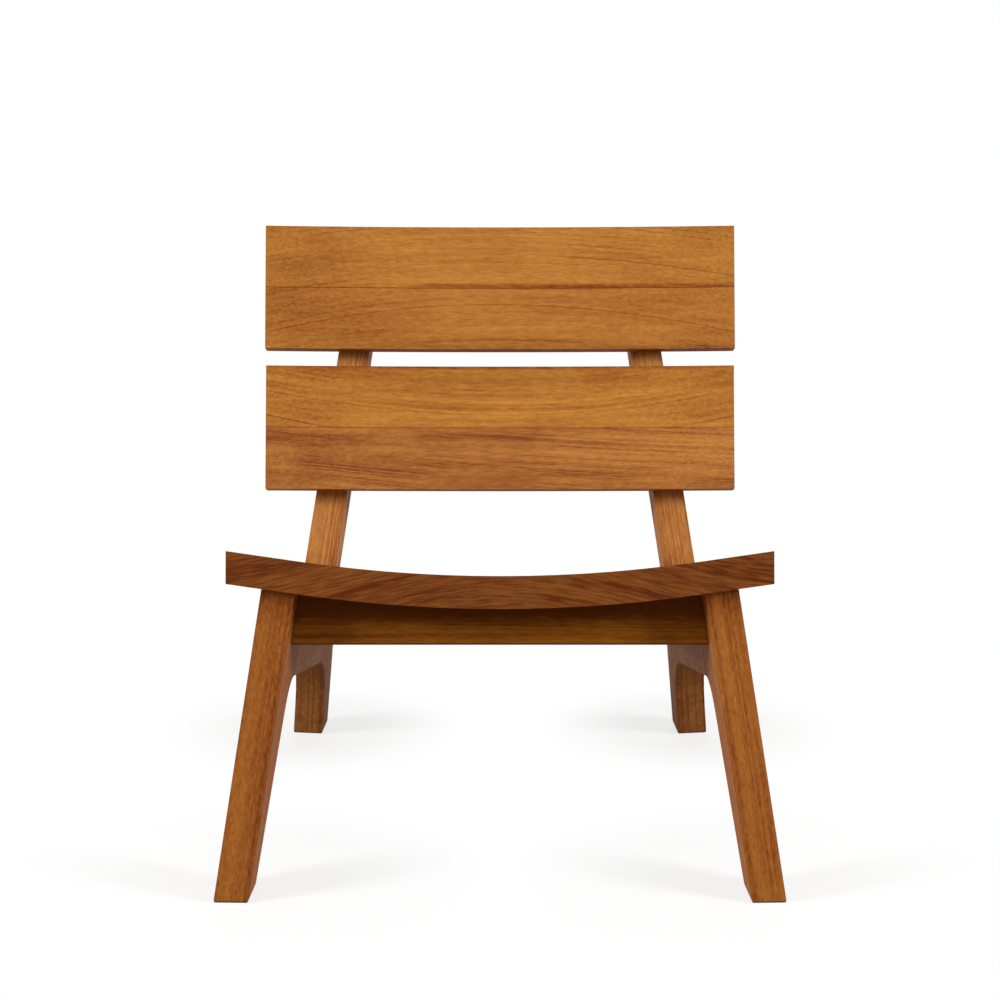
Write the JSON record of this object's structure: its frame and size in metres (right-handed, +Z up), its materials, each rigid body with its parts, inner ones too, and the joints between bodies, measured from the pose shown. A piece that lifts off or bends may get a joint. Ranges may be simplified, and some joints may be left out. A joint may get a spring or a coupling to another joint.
{
  "type": "lounge chair",
  "caption": "Low armless lounge chair in solid wood, with a dished seat, curved back slats and leaning side frames whose rear legs run up into the back posts.",
  "frame": {"origin": "on the floor, under the middle of the chair's outline", "axes": "+X to the right and +Y to the back as one faces the chair, +Z up"},
  "size_m": [0.6704, 0.712, 0.715],
  "materials": {
    "leg_wood": "satin, oiled hardwood",
    "rail_wood": "satin, oiled hardwood",
    "post_wood": "satin, oiled hardwood",
    "seat_wood": "satin, oiled hardwood",
    "upper_slat_wood": "satin, oiled hardwood",
    "lower_slat_wood": "satin, oiled hardwood",
    "stretcher_wood": "satin, oiled hardwood",
    "plug_wood": "satin, oiled hardwood",
    "tenon_wood": "bare wood",
    "screw_steel": "zinc plated"
  },
  "bodies": {
    "root": {"front_leg_left": "leg_wood", "front_leg_right": "leg_wood", "side_rail_left": "rail_wood", "side_rail_right": "rail_wood", "rear_leg_left": "post_wood", "rear_leg_right": "post_wood", "front_stretcher": "stretcher_wood", "rear_stretcher": "stretcher_wood", "seat_board_1": "seat_wood", "seat_board_2": "seat_wood", "seat_board_3": "seat_wood", "seat_board_4": "seat_wood", "lower_slat_bottom_board": "lower_slat_wood", "lower_slat_top_board": "lower_slat_wood", "upper_slat_bottom_board": "upper_slat_wood", "upper_slat_top_board": "upper_slat_wood", "front_rail_tenon_left": "tenon_wood", "front_rail_tenon_right": "tenon_wood", "rear_rail_tenon_left": "tenon_wood", "rear_rail_tenon_right": "tenon_wood", "front_stretcher_tenon_left": "tenon_wood", "front_stretcher_tenon_right": "tenon_wood", "rear_stretcher_tenon_left": "tenon_wood", "rear_stretcher_tenon_right": "tenon_wood", "slat_screw_left_1": "screw_steel", "slat_screw_left_2": "screw_steel", "slat_screw_left_3": "screw_steel", "slat_screw_left_4": "screw_steel", "slat_screw_right_1": "screw_steel", "slat_screw_right_2": "screw_steel", "slat_screw_right_3": "screw_steel", "slat_screw_right_4": "screw_steel", "slat_plug_left_1": "plug_wood", "slat_plug_left_2": "plug_wood", "slat_plug_left_3": "plug_wood", "slat_plug_left_4": "plug_wood", "slat_plug_right_1": "plug_wood", "slat_plug_right_2": "plug_wood", "slat_plug_right_3": "plug_wood", "slat_plug_right_4": "plug_wood", "seat_screw_front_1": "screw_steel", "seat_screw_front_2": "screw_steel", "seat_screw_front_3": "screw_steel", "seat_screw_rear_1": "screw_steel", "seat_screw_rear_2": "screw_steel", "seat_screw_rear_3": "screw_steel"}
  },
  "joints": []
}
